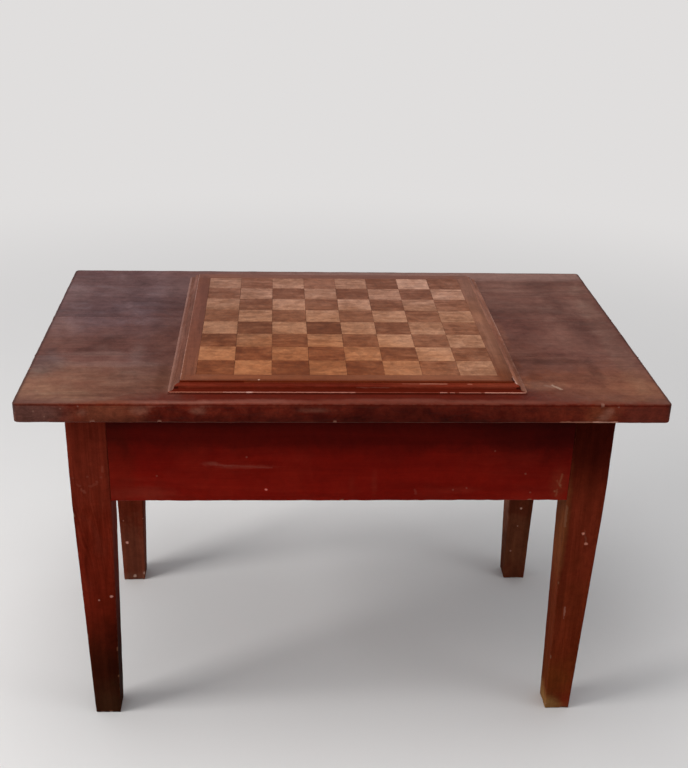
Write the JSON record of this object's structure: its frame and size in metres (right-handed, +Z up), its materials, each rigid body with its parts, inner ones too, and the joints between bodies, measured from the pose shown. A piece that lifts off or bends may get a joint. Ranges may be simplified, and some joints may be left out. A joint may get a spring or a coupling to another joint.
{
  "type": "chess table with inlaid board",
  "caption": "Low rectangular games table on four tapered legs with deep aprons and a raised, moulded chessboard of inlaid light and dark squares on its top.",
  "frame": {"origin": "on the floor, under the middle of the table top", "axes": "+X along the table's length, +Y from the front to the back, +Z up"},
  "size_m": [0.845, 0.54, 0.5565],
  "materials": {
    "table_top": "worn dark reddish-brown stain, satin",
    "legs": "worn red-brown stain, satin",
    "aprons": "deep red-maroon enamel, semi-gloss",
    "hidden_wood": "bare sawn softwood",
    "light_squares": "pale hardwood inlay under worn varnish",
    "dark_squares": "brown hardwood inlay under worn varnish",
    "border": "brown hardwood under worn varnish",
    "moulding": "red-brown stained moulding, worn arrises",
    "steel": "plain steel"
  },
  "bodies": {
    "root": {"top_plank_front": "table_top", "top_plank_middle": "table_top", "top_plank_back": "table_top", "top_tongue_front": "hidden_wood", "top_tongue_back": "hidden_wood", "leg_front_left": "legs", "leg_front_right": "legs", "leg_back_left": "legs", "leg_back_right": "legs", "corner_block_front_left": "hidden_wood", "corner_block_front_right": "hidden_wood", "corner_block_back_left": "hidden_wood", "corner_block_back_right": "hidden_wood", "apron_front": "aprons", "apron_right": "aprons", "apron_back": "aprons", "apron_left": "aprons", "top_cleat_front": "hidden_wood", "top_cleat_right": "hidden_wood", "top_cleat_back": "hidden_wood", "top_cleat_left": "hidden_wood", "corner_block_screws": "steel", "cleat_screws": "steel", "board_screws": "steel", "board_core": "hidden_wood", "dark_squares_rank_1": "dark_squares", "light_squares_rank_1": "light_squares", "dark_squares_rank_2": "dark_squares", "light_squares_rank_2": "light_squares", "dark_squares_rank_3": "dark_squares", "light_squares_rank_3": "light_squares", "dark_squares_rank_4": "dark_squares", "light_squares_rank_4": "light_squares", "dark_squares_rank_5": "dark_squares", "light_squares_rank_5": "light_squares", "dark_squares_rank_6": "dark_squares", "light_squares_rank_6": "light_squares", "dark_squares_rank_7": "dark_squares", "light_squares_rank_7": "light_squares", "dark_squares_rank_8": "dark_squares", "light_squares_rank_8": "light_squares", "board_border_front": "border", "board_border_right": "border", "board_border_back": "border", "board_border_left": "border", "board_moulding_front": "moulding", "board_moulding_right": "moulding", "board_moulding_back": "moulding", "board_moulding_left": "moulding", "moulding_brads": "steel"}
  },
  "joints": []
}
